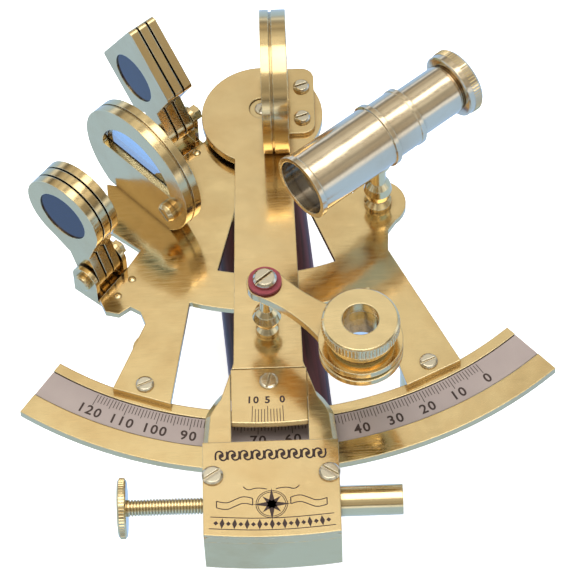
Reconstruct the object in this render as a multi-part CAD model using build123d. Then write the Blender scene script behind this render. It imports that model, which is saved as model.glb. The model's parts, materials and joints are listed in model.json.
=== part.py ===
# Brass nautical sextant with a telescope, two round mirrors, two sets of shades,
# a vernier window with a swinging magnifier, and a tangent screw.
# Millimetres. +Z is up with the sextant lying face up on its three rear legs.
# The origin is on the index arm's pivot axis, at the foot of the upper leg.
# -Y runs from the pivot to the scale, and +X is the telescope side.
import math
import os

from build123d import *

os.makedirs("parts", exist_ok=True)

# ---- levels, from the floor up ----
LIMB_BOTTOM = 34.0
LIMB_TOP = 36.0
FRAME_TOP = 37.6
ARM_BOTTOM = 39.0
ARM_TOP = 41.0
APRON_TOP = 41.9
BLOCK_BOTTOM = 28.0

# ---- limb and scale ----
LIMB_INNER_R = 83.3
LIMB_OUTER_R = 98.9
LIMB_HALF_ANGLE = 38.2
CHANNEL_INNER_R = 85.8
CHANNEL_OUTER_R = 93.3
CHANNEL_DEPTH = 0.8
STRIP_EDGE_GAP = 0.2
STRIP_THICKNESS = 0.6
LUG_INNER_R = 76.0

# ---- frame plate ----
HEAD_R = 12.4
BAND_INNER_R = 46.2
BAND_OUTER_R = 56.5
FOOT_END_R = 84.4
FOOT_INNER_ANGLE = 18.6
FOOT_OUTER_ANGLE = 28.1
FOOT_SCREW_R = 81.0
FOOT_SCREW_ANGLE = 23.6
LOBE_X = 25.2
LOBE_Y = -28.3
LOBE_R = 6.6

# ---- fits ----
RUNNING = 0.04
SCREW_CLEARANCE = 0.05
SIDE_GAP = 0.5

# ---- pivot ----
AXLE_R = 3.0
AXLE_FLANGE_R = 5.5
PIVOT_SCREW_HEAD_R = 1.7
LEG_R = 3.2
LEG_FOOT_R = 5.0
LEG_FLANGE_R = 4.6
SIDE_LEG_X = 30.2
SIDE_LEG_Y = -63.5

# ---- handle ----
HANDLE_TOP = 20.5
HANDLE_BOTTOM = 4.5
HANDLE_WIDTH = 23.0
HANDLE_X = -1.7
HANDLE_UPPER_Y = -9.5
HANDLE_LOWER_Y = -80.5
HANDLE_TURN = 1.3
HANDLE_POST_R = 3.0
HANDLE_POST_Y = (-17.0, -51.5)

# ---- index arm ----
ARM_TURN = -3.2
ARM_HEAD_TOP_Y = 12.3
ARM_HEAD_FOOT_Y = -15.0
BAR_UPPER_HALF = 6.7
BAR_LOWER_HALF = 7.9
BAR_END_Y = -74.7
NECK_HALF = 10.1
APRON_HALF = 15.2
APRON_UPPER_Y = -94.8
APRON_END_R = 119.6
WINDOW_HALF = 8.7
RECESS_END_Y = -82.0
TONGUE_THICKNESS = 0.9
VERNIER_THICKNESS = 0.9
VERNIER_EDGE_R = 90.0
BLOCK_WALL = 2.6
BLOCK_INNER_Y = -100.4
APRON_SCREW_X = 13.0
APRON_SCREW_Y = -103.6

# ---- tangent screw ----
TANGENT_Y = -105.8
TANGENT_Z = 33.0
ROD_R = 1.9
THREAD_DEPTH = 0.3
THREAD_PITCH = 0.7
TANGENT_TRAVEL = 2.1
KNOB_R = 6.65
KNOB_LENGTH = 2.0
KNOB_X = -34.5
HOUSING_R = 3.45
HOUSING_END_X = 29.2

# ---- magnifier ----
MAG_POST_Y = -64.2
MAG_EYE_Z = 57.6
MAG_ARM_THICKNESS = 2.2
MAG_REACH = 26.9
MAG_TURN = 50.9
MAG_RING_R = 9.4
MAG_TUBE_R = 6.65
MAG_TOP_R = 8.5
MAG_BORE_R = 4.1

# ---- telescope ----
SCOPE_Z = 63.6
SCOPE_TURN = 35.1
SCOPE_R = 7.5
SCOPE_FRONT = -22.9
SCOPE_COLLAR = -0.7
SCOPE_REAR = 8.7
SCOPE_REAR_R = 7.1
DRAW_R = 6.15
DRAW_INNER_END = -14.0
EYEPIECE_START = 21.2
EYEPIECE_END = 25.8
EYEPIECE_R = 7.9

# ---- mirrors ----
HORIZON_X = -30.8
HORIZON_Y = -23.5
HORIZON_TURN = -50.0
MIRROR_R = 17.0
MIRROR_BASE = 13.6
HORIZON_DEPTH = 4.6
INDEX_R = 17.0
INDEX_BASE = 13.6
INDEX_DEPTH = 6.1
MIRROR_WALL = 1.6
MIRROR_SEAT_R = 13.2
GLASS_R = 13.0
GLASS_THICKNESS = 1.6
HALF_MOON_R = 11.5
INDEX_CENTRE_Y = -2.9
INDEX_FLANGE_Y = 0.8
INDEX_FACE_X = 0.3
FLANGE_THICKNESS = 1.1

# ---- shades ----
LEAF_THICKNESS = 2.1
LEAF_PITCH = LEAF_THICKNESS + SIDE_GAP
PIN_R = 1.2
CHEEK = 1.2
HSHADE_CHEEK_HALF = 3.6
ISHADE_CHEEK_HALF = 2.6
HSHADE_X = -41.0
HSHADE_Y = -42.7
HSHADE_Z = 41.2
HSHADE_TURN = 46.5
HSHADE_LEAN = 19.5
HSHADE_REACH = 19.1
HSHADE_R = 10.4
HSHADE_GLASS_R = 6.7
ISHADE_X = -21.4
ISHADE_Y = -5.1
ISHADE_Z = 42.8
ISHADE_TURN = 35.7
ISHADE_LEAN = 36.7
ISHADE_REACH = 15.9
ISHADE_GLASS_R = 6.55
TAIL_HALF = 3.2
SHADE_NUT_R = 2.05


def polar(radius, degrees):
    """A point at a radius from the pivot, its angle counted from -Y towards +X."""
    turn = math.radians(degrees)
    return (radius * math.sin(turn), -radius * math.cos(turn))


def arc_line(radius, first, last):
    """An arc about the pivot between two angles counted from -Y."""
    middle = (first + last) / 2
    return ThreePointArc(polar(radius, first), polar(radius, middle), polar(radius, last))


def ring_sector(inner, outer, first, last, low, high):
    """A flat curved bar about the pivot."""
    outline = [
        arc_line(inner, first, last),
        Line(polar(inner, last), polar(outer, last)),
        arc_line(outer, last, first),
        Line(polar(outer, first), polar(inner, first)),
    ]
    return Pos(0, 0, low) * extrude(make_face(outline), amount=high - low)


def disc(radius, low, high, x=0.0, y=0.0):
    """An upright cylinder between two levels."""
    return Pos(x, y, low) * Cylinder(radius, high - low, align=(Align.CENTER, Align.CENTER, Align.MIN))


def block(x_span, y_span, z_span):
    """A box between two limits on each axis."""
    size = [span[1] - span[0] for span in (x_span, y_span, z_span)]
    corner = Pos(x_span[0], y_span[0], z_span[0])
    return corner * Box(*size, align=(Align.MIN, Align.MIN, Align.MIN))


def rod_x(radius, first, last, y=0.0, z=0.0):
    """A cylinder lying along X."""
    lying = Rot(0, 90, 0) * Cylinder(radius, last - first, align=(Align.CENTER, Align.CENTER, Align.MIN))
    return Pos(first, y, z) * lying


def turned(profile):
    """A solid turned about Z from (radius, height) points, closed along its axis."""
    points = [(0, profile[0][1])] + list(profile) + [(0, profile[-1][1])]
    wire = Polyline(*[(radius, 0, height) for radius, height in points], close=True)
    return revolve(make_face(wire), axis=Axis.Z)


def slotted_screw(head_r, head_height, shank_r, length, slot_width, slot_turn=0.0):
    """A screw with its head's seat at z = 0 and its shank below."""
    head = turned([(head_r, 0), (head_r, head_height * 0.6), (head_r * 0.8, head_height)])
    slot_depth = head_height * 0.55
    slot = Pos(0, 0, head_height) * Box(3 * head_r, slot_width, 2 * slot_depth)
    return head - Rot(0, 0, slot_turn) * slot + disc(shank_r, -length, 0)


def on_arm(shape):
    """Turns a piece drawn straight along -Y into the arm's rest position."""
    return Rot(0, 0, ARM_TURN) * shape


def save(name, shape):
    """Writes one piece as its own STEP file."""
    export_step(shape, f"parts/{name}.step")


# ================= limb =================
limb = ring_sector(LIMB_INNER_R, LIMB_OUTER_R, -LIMB_HALF_ANGLE, LIMB_HALF_ANGLE, LIMB_BOTTOM, LIMB_TOP)
for side in (-1, 1):
    first, last = sorted((side * (FOOT_INNER_ANGLE + 1), side * (FOOT_OUTER_ANGLE - 1)))
    limb += ring_sector(LUG_INNER_R, LIMB_INNER_R + 1, first, last, LIMB_BOTTOM, LIMB_TOP)
channel_floor = LIMB_TOP - CHANNEL_DEPTH
limb -= ring_sector(
    CHANNEL_INNER_R, CHANNEL_OUTER_R, -LIMB_HALF_ANGLE - 1, LIMB_HALF_ANGLE + 1, channel_floor, LIMB_TOP + 1
)
foot_screw_spots = [polar(FOOT_SCREW_R, side * FOOT_SCREW_ANGLE) for side in (-1, 1)]
FOOT_SCREW_SHANK_R = 1.1
for x, y in foot_screw_spots:
    limb -= disc(FOOT_SCREW_SHANK_R + SCREW_CLEARANCE, LIMB_BOTTOM - 1, LIMB_TOP + 1, x, y)
save("limb", limb)

scale_strip = ring_sector(
    CHANNEL_INNER_R + STRIP_EDGE_GAP,
    CHANNEL_OUTER_R - STRIP_EDGE_GAP,
    -LIMB_HALF_ANGLE,
    LIMB_HALF_ANGLE,
    channel_floor,
    channel_floor + STRIP_THICKNESS,
)
save("scale_strip", scale_strip)

# ================= frame plate =================
INNER_FOOT = polar(FOOT_END_R, FOOT_INNER_ANGLE)
OUTER_FOOT = polar(FOOT_END_R, FOOT_OUTER_ANGLE)
LEFT_EDGE = [
    (-12.0, -1.0),
    (-14.2, -6.0),
    (-20.6, -10.6),
    (-24.6, -20.8),
    (-38.3, -16.6),
    (-38.2, -30.3),
    (-31.4, -36.6),
    (-35.6, -42.6),
    (-41.6, -49.6),
    (-40.4, -53.2),
    (-37.4, -54.2),
    (-34.6, -52.4),
    (-32.4, -54.0),
    (-31.4, -57.5),
]
RIGHT_EDGE = [
    (11.5, -4.0),
    (19.5, -24.9),
    (31.4, -25.9),
    (31.6, -30.3),
    (26.9, -36.4),
    (26.3, -42.1),
]
frame_outline = Polyline(
    *LEFT_EDGE,
    (-OUTER_FOOT[0], OUTER_FOOT[1]),
    (-INNER_FOOT[0], INNER_FOOT[1]),
    (-20.9, -52.6),
    (20.9, -52.6),
    INNER_FOOT,
    OUTER_FOOT,
    *reversed(RIGHT_EDGE),
    close=True,
)
frame_plan = make_face(frame_outline) + Circle(HEAD_R) + Pos(LOBE_X, LOBE_Y) * Circle(LOBE_R)
# The crossbar between the legs is a band about the pivot.
below_band = make_face(
    [
        arc_line(BAND_OUTER_R, -21.0, 21.0),
        Line(polar(BAND_OUTER_R, 21.0), polar(40, 21.0)),
        Line(polar(40, 21.0), polar(40, -21.0)),
        Line(polar(40, -21.0), polar(BAND_OUTER_R, -21.0)),
    ]
)
frame_plan += below_band
upper_window = make_face(
    [
        arc_line(BAND_INNER_R, -17.4, 17.4),
        Line(polar(BAND_INNER_R, 17.4), (7.4, -23.5)),
        ThreePointArc((7.4, -23.5), (0, -18.5), (-7.4, -23.5)),
        Line((-7.4, -23.5), polar(BAND_INNER_R, -17.4)),
    ]
)
frame_plan -= upper_window
frame_plate = Pos(0, 0, LIMB_TOP) * extrude(frame_plan, amount=FRAME_TOP - LIMB_TOP)
frame_plate &= disc(FOOT_END_R, LIMB_TOP - 1, FRAME_TOP + 1)

# Holes for the pivot, the telescope post and the feet, cut well past both plate faces.
PLATE_CUT = (LIMB_TOP - 6, FRAME_TOP + 12)
frame_holes = disc(AXLE_R + SCREW_CLEARANCE, *PLATE_CUT)
for x, y in foot_screw_spots:
    frame_holes += disc(FOOT_SCREW_SHANK_R + SCREW_CLEARANCE, *PLATE_CUT, x, y)
SCOPE_SPIGOT_R = 2.0
frame_holes += disc(SCOPE_SPIGOT_R + SCREW_CLEARANCE, *PLATE_CUT, LOBE_X, LOBE_Y)
frame_plate -= frame_holes

foot_screws = []
for x, y in foot_screw_spots:
    screw = slotted_screw(2.05, 0.7, FOOT_SCREW_SHANK_R, FRAME_TOP - LIMB_BOTTOM, 0.5, 20)
    foot_screws.append(Pos(x, y, FRAME_TOP) * screw)
save("foot_screws", Compound(children=foot_screws))

# ================= pivot axle and legs =================
AXLE_FLANGE = 1.6
AXLE_SCREW_R = 1.0
AXLE_SCREW_DEPTH = 5.0
axle_low = LIMB_TOP - AXLE_FLANGE
pivot_axle = disc(AXLE_FLANGE_R, axle_low, LIMB_TOP) + disc(AXLE_R, LIMB_TOP, ARM_TOP - 0.4)
pivot_axle -= disc(AXLE_SCREW_R + SCREW_CLEARANCE, ARM_TOP - 0.4 - AXLE_SCREW_DEPTH, ARM_TOP)
save("pivot_axle", pivot_axle)

pivot_screw = slotted_screw(PIVOT_SCREW_HEAD_R, 0.35, AXLE_SCREW_R, AXLE_SCREW_DEPTH - 0.4, 0.4, 60)
save("pivot_screw", Pos(0, 0, ARM_TOP - 0.4) * pivot_screw)


def rear_leg(top):
    """A turned leg with a flat foot at z = 0 and a flange under the plate."""
    return turned(
        [
            (LEG_FOOT_R, 0),
            (LEG_FOOT_R, 2.2),
            (LEG_R, 5.0),
            (LEG_R, top - 6.0),
            (LEG_R + 0.9, top - 5.2),
            (LEG_R, top - 4.4),
            (LEG_R, top - 1.6),
            (LEG_FLANGE_R, top - 1.6),
            (LEG_FLANGE_R, top),
        ]
    )


save("leg_upper", rear_leg(axle_low))
side_legs = [Pos(side * SIDE_LEG_X, SIDE_LEG_Y, 0) * rear_leg(LIMB_TOP) for side in (-1, 1)]
save("side_legs", Compound(children=side_legs))

# ================= handle =================
handle_length = HANDLE_UPPER_Y - HANDLE_LOWER_Y
handle_height = HANDLE_TOP - HANDLE_BOTTOM
HANDLE_SWELL = 2.2
handle_side = make_face(
    [
        Line((-handle_length / 2, 0), (-handle_length / 2, handle_height)),
        Line((-handle_length / 2, handle_height), (handle_length / 2, handle_height)),
        Line((handle_length / 2, handle_height), (handle_length / 2, 0)),
        ThreePointArc(
            (handle_length / 2, 0), (0, -HANDLE_SWELL), (-handle_length / 2, 0)
        ),
    ]
)
grip = Rot(0, 0, 90) * Rot(90, 0, 0) * extrude(handle_side, amount=HANDLE_WIDTH / 2, both=True)
GRIP_LONG_ROUNDING = 4.5
GRIP_END_ROUNDING = 3.0
grip = fillet(grip.edges().filter_by(Axis.Y), GRIP_LONG_ROUNDING)
grip = fillet(grip.edges().filter_by(Axis.X), GRIP_END_ROUNDING)
handle_middle_y = (HANDLE_UPPER_Y + HANDLE_LOWER_Y) / 2
HANDLE_SCREW_R = 1.25
HANDLE_SCREW_HEAD_R = 2.6
HANDLE_SCREW_SINK = 3.0
grip = Pos(HANDLE_X, handle_middle_y, HANDLE_BOTTOM) * Rot(0, 0, HANDLE_TURN) * grip
handle_posts = []
handle_screws = []
for y in HANDLE_POST_Y:
    x = HANDLE_X - (y - handle_middle_y) * math.sin(math.radians(HANDLE_TURN))
    grip -= disc(HANDLE_SCREW_R + SCREW_CLEARANCE, -5, 40, x, y)
    grip -= disc(HANDLE_SCREW_HEAD_R + SCREW_CLEARANCE, -5, HANDLE_BOTTOM + HANDLE_SCREW_SINK, x, y)
    post = turned(
        [
            (HANDLE_POST_R + 1.2, HANDLE_TOP),
            (HANDLE_POST_R + 1.2, HANDLE_TOP + 1.5),
            (HANDLE_POST_R, HANDLE_TOP + 2.4),
            (HANDLE_POST_R, LIMB_TOP - 2.4),
            (HANDLE_POST_R + 1.2, LIMB_TOP - 1.5),
            (HANDLE_POST_R + 1.2, LIMB_TOP),
        ]
    )
    post -= disc(HANDLE_SCREW_R + SCREW_CLEARANCE, 0, HANDLE_TOP + 7, 0, 0)
    handle_posts.append(Pos(x, y, 0) * post)
    screw_length = HANDLE_TOP + 6 - HANDLE_BOTTOM - HANDLE_SCREW_SINK
    screw = slotted_screw(HANDLE_SCREW_HEAD_R, 1.6, HANDLE_SCREW_R, screw_length, 0.7, 30)
    handle_screws.append(Pos(x, y, HANDLE_BOTTOM + HANDLE_SCREW_SINK) * Rot(180, 0, 0) * screw)
save("handle_grip", grip)
save("handle_posts", Compound(children=handle_posts))
save("handle_screws", Compound(children=handle_screws))

# ================= index arm =================
apron_corner_y = -math.sqrt(APRON_END_R**2 - APRON_HALF**2)
arm_outline = [
    ThreePointArc(
        (-BAR_UPPER_HALF, ARM_HEAD_FOOT_Y),
        (0, ARM_HEAD_TOP_Y),
        (BAR_UPPER_HALF, ARM_HEAD_FOOT_Y),
    ),
    Line((BAR_UPPER_HALF, ARM_HEAD_FOOT_Y), (BAR_LOWER_HALF, BAR_END_Y + 1.5)),
    Line((BAR_LOWER_HALF, BAR_END_Y + 1.5), (NECK_HALF, BAR_END_Y - 5.5)),
    ThreePointArc((NECK_HALF, BAR_END_Y - 5.5), (12.4, -82.9), (APRON_HALF - 0.7, -87.0)),
    Line((APRON_HALF - 0.7, -87.0), (APRON_HALF, APRON_UPPER_Y)),
    Line((APRON_HALF, APRON_UPPER_Y), (APRON_HALF, apron_corner_y)),
    ThreePointArc((APRON_HALF, apron_corner_y), (0, -APRON_END_R), (-APRON_HALF, apron_corner_y)),
    Line((-APRON_HALF, apron_corner_y), (-APRON_HALF, APRON_UPPER_Y)),
    Line((-APRON_HALF, APRON_UPPER_Y), (-APRON_HALF + 0.7, -87.0)),
    ThreePointArc((-APRON_HALF + 0.7, -87.0), (-12.4, -82.9), (-NECK_HALF, BAR_END_Y - 5.5)),
    Line((-NECK_HALF, BAR_END_Y - 5.5), (-BAR_LOWER_HALF, BAR_END_Y + 1.5)),
    Line((-BAR_LOWER_HALF, BAR_END_Y + 1.5), (-BAR_UPPER_HALF, ARM_HEAD_FOOT_Y)),
]
arm_face = make_face(arm_outline)
index_arm = Pos(0, 0, ARM_BOTTOM) * extrude(arm_face, amount=ARM_TOP - ARM_BOTTOM)
window = block((-WINDOW_HALF, WINDOW_HALF), (APRON_UPPER_Y, RECESS_END_Y), (ARM_BOTTOM - 1, ARM_TOP + 1))
tongue_top = ARM_BOTTOM + TONGUE_THICKNESS
recess = block((-WINDOW_HALF, WINDOW_HALF), (RECESS_END_Y - 1, BAR_END_Y), (tongue_top, ARM_TOP + 1))
index_arm = index_arm - window - recess
index_arm -= disc(AXLE_R + RUNNING, ARM_BOTTOM - 1, ARM_TOP + 1)
APRON_SCREW_R = 1.2
VERNIER_SCREW_R = 1.0
VERNIER_SCREW_Y = -78.2
index_arm -= disc(VERNIER_SCREW_R + SCREW_CLEARANCE, ARM_BOTTOM - 1, ARM_TOP, 0, VERNIER_SCREW_Y)
apron_spots = [(side * APRON_SCREW_X, APRON_SCREW_Y) for side in (-1, 1)]
apron_holes = Part() + [
    disc(APRON_SCREW_R + SCREW_CLEARANCE, ARM_BOTTOM - 5, APRON_TOP + 1, x, y) for x, y in apron_spots
]
MAG_SPIGOT_R = 1.4
index_arm -= disc(MAG_SPIGOT_R + SCREW_CLEARANCE, ARM_BOTTOM - 1, ARM_TOP + 1, 0, MAG_POST_Y)
INDEX_SCREW_R = 0.8
INDEX_SCREW_X = 9.6
index_screw_spots = [(INDEX_SCREW_X, INDEX_FLANGE_Y + step) for step in (4.2, -5.2)]
for x, y in index_screw_spots:
    index_arm -= disc(INDEX_SCREW_R + SCREW_CLEARANCE, ARM_BOTTOM - 1, ARM_TOP + 1, x, y)


def on_shoulder(edge):
    """True for the top edges between the neck and the apron."""
    middle = edge @ 0.5
    on_top = abs(middle.Z - ARM_TOP) < 0.01
    return on_top and abs(middle.X) > NECK_HALF + 0.3 and -92.0 < middle.Y < BAR_END_Y - 5.5


index_arm = chamfer(index_arm.edges().filter_by(on_shoulder), 1.2)
index_arm -= apron_holes
save("index_arm", on_arm(index_arm))

vernier_low = tongue_top
vernier_high = tongue_top + VERNIER_THICKNESS
vernier_corner_y = -math.sqrt(VERNIER_EDGE_R**2 - (WINDOW_HALF - 0.1) ** 2)
vernier = extrude(
    make_face(
        [
            Line((-WINDOW_HALF + 0.1, BAR_END_Y - 0.1), (WINDOW_HALF - 0.1, BAR_END_Y - 0.1)),
            Line((WINDOW_HALF - 0.1, BAR_END_Y - 0.1), (WINDOW_HALF - 0.1, vernier_corner_y)),
            ThreePointArc(
                (WINDOW_HALF - 0.1, vernier_corner_y),
                (0, -VERNIER_EDGE_R),
                (-WINDOW_HALF + 0.1, vernier_corner_y),
            ),
            Line((-WINDOW_HALF + 0.1, vernier_corner_y), (-WINDOW_HALF + 0.1, BAR_END_Y - 0.1)),
        ]
    ),
    amount=VERNIER_THICKNESS,
)
vernier_edge = (
    vernier.edges()
    .filter_by(GeomType.CIRCLE)
    .filter_by(lambda edge: edge.center().Z > VERNIER_THICKNESS - 0.01)
)
vernier = chamfer(vernier_edge, 0.7)
vernier = Pos(0, 0, vernier_low) * vernier
vernier -= disc(VERNIER_SCREW_R + SCREW_CLEARANCE, *PLATE_CUT, 0, VERNIER_SCREW_Y)
save("vernier_plate", on_arm(vernier))

vernier_screw = slotted_screw(2.15, 0.5, VERNIER_SCREW_R, vernier_high - ARM_BOTTOM, 0.45, 75)
save("vernier_screw", on_arm(Pos(0, VERNIER_SCREW_Y, vernier_high) * vernier_screw))

# ================= apron and tangent-screw block =================
apron_face = make_face(
    [
        Line((-APRON_HALF, APRON_UPPER_Y), (APRON_HALF, APRON_UPPER_Y)),
        Line((APRON_HALF, APRON_UPPER_Y), (APRON_HALF, apron_corner_y)),
        ThreePointArc((APRON_HALF, apron_corner_y), (0, -APRON_END_R), (-APRON_HALF, apron_corner_y)),
        Line((-APRON_HALF, apron_corner_y), (-APRON_HALF, APRON_UPPER_Y)),
    ]
)
apron = Pos(0, 0, ARM_TOP) * extrude(apron_face, amount=APRON_TOP - ARM_TOP) - apron_holes
save("apron_plate", on_arm(apron))

apron_screws = []
APRON_SCREW_GRIP = APRON_TOP - ARM_BOTTOM + 2.6
for (x, y), slot_turn in zip(apron_spots, (35, -35)):
    screw = slotted_screw(2.4, 0.8, APRON_SCREW_R, APRON_SCREW_GRIP, 0.8, slot_turn)
    apron_screws.append(on_arm(Pos(x, y, APRON_TOP) * screw))
save("apron_screws", Compound(children=apron_screws))

tangent_block = Pos(0, 0, BLOCK_BOTTOM) * extrude(apron_face, amount=ARM_BOTTOM - BLOCK_BOTTOM)
inner_half = APRON_HALF - BLOCK_WALL
tangent_block -= block((-20, 20), (BLOCK_INNER_Y, -90), (BLOCK_BOTTOM - 1, ARM_BOTTOM + 1))
CAVITY_END_Y = -113.5
tangent_block -= block((-inner_half, inner_half), (CAVITY_END_Y, -90), (BLOCK_BOTTOM - 1, ARM_BOTTOM - 0.8))
for x, y in apron_spots:
    tangent_block += disc(2.0, ARM_BOTTOM - 3.0, ARM_BOTTOM, x, y)
tangent_block -= apron_holes
tangent_block -= rod_x(ROD_R + RUNNING, -20, 0, TANGENT_Y, TANGENT_Z)
tangent_block -= rod_x(HOUSING_R - 0.8, 0, 20, TANGENT_Y, TANGENT_Z)
save("tangent_block", on_arm(tangent_block))

spring_housing = rod_x(HOUSING_R, APRON_HALF, HOUSING_END_X, TANGENT_Y, TANGENT_Z)
spring_housing += rod_x(HOUSING_R - 0.85, inner_half, APRON_HALF + 1, TANGENT_Y, TANGENT_Z)
PLUNGER_R = 1.5
SPRING_BORE_R = 2.1
spring_housing -= rod_x(SPRING_BORE_R, inner_half - 1, HOUSING_END_X - 1.5, TANGENT_Y, TANGENT_Z)
save("spring_housing", on_arm(spring_housing))

# The clamp shoe's lug stands between the screw's tip and the sprung plunger.
LUG_HALF = 2.5
ROD_TIP_X = -LUG_HALF
tangent_rod = rod_x(ROD_R, KNOB_X + KNOB_LENGTH, ROD_TIP_X - 0.8, TANGENT_Y, TANGENT_Z)
groove = Pos(0, TANGENT_Y, TANGENT_Z) * Rot(0, 90, 0) * (
    Cylinder(ROD_R + 1, THREAD_PITCH * 0.45) - Cylinder(ROD_R - THREAD_DEPTH, THREAD_PITCH)
)
GROOVES = 24
first_groove_x = KNOB_X + KNOB_LENGTH + 0.8
tangent_rod -= [Pos(first_groove_x + index * THREAD_PITCH, 0, 0) * groove for index in range(GROOVES)]
save("tangent_rod", on_arm(tangent_rod))

thrust_pad = rod_x(1.6, ROD_TIP_X - 0.75, ROD_TIP_X - 0.05, TANGENT_Y, TANGENT_Z)
save("thrust_pad", on_arm(thrust_pad))

knob = rod_x(KNOB_R, KNOB_X, KNOB_X + KNOB_LENGTH, TANGENT_Y, TANGENT_Z)
knob = chamfer(knob.edges().filter_by(GeomType.CIRCLE), 0.35)
save("tangent_knob", on_arm(knob))

plunger = rod_x(PLUNGER_R, LUG_HALF + 0.05, inner_half + 5, TANGENT_Y, TANGENT_Z)
plunger += rod_x(SPRING_BORE_R - 0.1, inner_half + 3.5, inner_half + 5, TANGENT_Y, TANGENT_Z)
save("spring_plunger", on_arm(plunger))

SPRING_WIRE_R = 0.35
SPRING_COILS = 5
# The spring is drawn squeezed, so the plunger has its full travel in front of it.
spring_start = inner_half + 5.0 + TANGENT_TRAVEL + 0.2
spring_pitch = (HOUSING_END_X - 4.2 - spring_start - SPRING_WIRE_R * 2) / SPRING_COILS
spring_path = Helix(spring_pitch, spring_pitch * SPRING_COILS, SPRING_BORE_R - SPRING_WIRE_R - 0.2)
spring_end_plane = Plane(origin=spring_path @ 0, z_dir=spring_path % 0)
spring = sweep(spring_end_plane * Circle(SPRING_WIRE_R), path=spring_path)
spring = Pos(spring_start + SPRING_WIRE_R, TANGENT_Y, TANGENT_Z) * Rot(0, 90, 0) * spring
save("plunger_spring", on_arm(spring))

# ================= clamp =================
CLAMP_HALF = 8.0
JAW_GAP = 0.3
CLAMP_LOW = 30.2
CLAMP_INNER_Y = -88.0
clamp = block((-CLAMP_HALF, CLAMP_HALF), (-99.8, CLAMP_INNER_Y), (CLAMP_LOW, LIMB_BOTTOM - JAW_GAP))
clamp += block((-CLAMP_HALF, CLAMP_HALF), (-101.6, -99.4), (CLAMP_LOW, LIMB_TOP + 1.9))
clamp += block((-CLAMP_HALF, CLAMP_HALF), (-101.6, -95.0), (LIMB_TOP + JAW_GAP, LIMB_TOP + 1.9))
clamp += block((-LUG_HALF, LUG_HALF), (-109.5, -101.0), (CLAMP_LOW, LIMB_TOP - 0.4))
CLAMP_SCREW_Y = -93.6
CLAMP_SCREW_R = 1.5
clamp -= disc(CLAMP_SCREW_R + RUNNING, CLAMP_LOW - 1, LIMB_BOTTOM, 0, CLAMP_SCREW_Y)
save("clamp_shoe", on_arm(clamp))

clamp_screw = disc(CLAMP_SCREW_R, CLAMP_LOW - 5.5, LIMB_BOTTOM - JAW_GAP - 0.2, 0, CLAMP_SCREW_Y)
clamp_head = disc(5.0, CLAMP_LOW - 8.5, CLAMP_LOW - 4.5, 0, CLAMP_SCREW_Y)
clamp_screw += chamfer(clamp_head.edges().filter_by(GeomType.CIRCLE), 0.4)
clamp_screw += disc(2.6, CLAMP_LOW - 4.6, CLAMP_LOW - 2.6, 0, CLAMP_SCREW_Y)
save("clamp_screw", on_arm(clamp_screw))

# ================= magnifier =================
post_top = MAG_EYE_Z - 0.1
magnifier_post = turned(
    [
        (2.6, ARM_TOP),
        (2.6, ARM_TOP + 1.0),
        (1.5, ARM_TOP + 2.4),
        (2.6, ARM_TOP + 3.6),
        (3.3, ARM_TOP + 5.6),
        (2.6, ARM_TOP + 7.6),
        (1.6, ARM_TOP + 8.8),
        (1.4, ARM_TOP + 12.0),
        (2.0, post_top - 1.4),
        (3.0, post_top - 0.8),
        (3.0, post_top),
    ]
)
MAG_SCREW_R = 1.2
magnifier_post += disc(MAG_SPIGOT_R, ARM_BOTTOM, ARM_TOP)
magnifier_post -= disc(MAG_SCREW_R + SCREW_CLEARANCE, post_top - 5.0, post_top + 1)
magnifier_post = Pos(0, MAG_POST_Y, 0) * magnifier_post
save("magnifier_post", on_arm(magnifier_post))

eye_top = MAG_EYE_Z + MAG_ARM_THICKNESS
WASHER_THICKNESS = 0.7
washer_low = eye_top + 0.1
fibre_washer = disc(3.75, washer_low, washer_low + WASHER_THICKNESS)
fibre_washer -= disc(MAG_SCREW_R + SCREW_CLEARANCE, 0, 90)
save("fibre_washer", on_arm(Pos(0, MAG_POST_Y, 0) * fibre_washer))

mag_screw_length = washer_low + WASHER_THICKNESS - post_top + 4.5
magnifier_screw = slotted_screw(2.7, 1.5, MAG_SCREW_R, mag_screw_length, 0.6, 40)
magnifier_screw = Pos(0, MAG_POST_Y, washer_low + WASHER_THICKNESS) * magnifier_screw
save("magnifier_screw", on_arm(magnifier_screw))


def at_magnifier(shape):
    """Places a piece drawn with the swing arm's eye at the origin, reaching along +X."""
    return on_arm(Pos(0, MAG_POST_Y, 0) * Rot(0, 0, MAG_TURN - 90) * shape)


swing_web = make_face(
    [
        Line((1.5, -3.9), (1.5, 3.9)),
        ThreePointArc((1.5, 3.9), (13.0, 3.4), (25.0, 7.2)),
        Line((25.0, 7.2), (25.0, -7.2)),
        ThreePointArc((25.0, -7.2), (13.0, -3.4), (1.5, -3.9)),
    ]
)
MAG_RING_LOW = MAG_EYE_Z - 1.2
MAG_RING_HIGH = MAG_EYE_Z + 3.4
swing_arm = Pos(0, 0, MAG_EYE_Z) * extrude(swing_web + Circle(4.2), amount=MAG_ARM_THICKNESS)
ring_profile = turned(
    [
        (MAG_RING_R, MAG_RING_LOW),
        (MAG_RING_R, MAG_RING_LOW + 1.6),
        (MAG_RING_R - 0.9, MAG_RING_LOW + 1.9),
        (MAG_RING_R - 0.9, MAG_RING_LOW + 2.7),
        (MAG_RING_R, MAG_RING_LOW + 3.0),
        (MAG_RING_R, MAG_RING_HIGH),
    ]
)
swing_arm += Pos(MAG_REACH, 0, 0) * ring_profile
swing_arm -= disc(MAG_TUBE_R + RUNNING, 0, 90, MAG_REACH)
swing_arm -= disc(MAG_SCREW_R + RUNNING, 0, 90)
save("magnifier_arm", at_magnifier(swing_arm))

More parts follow.
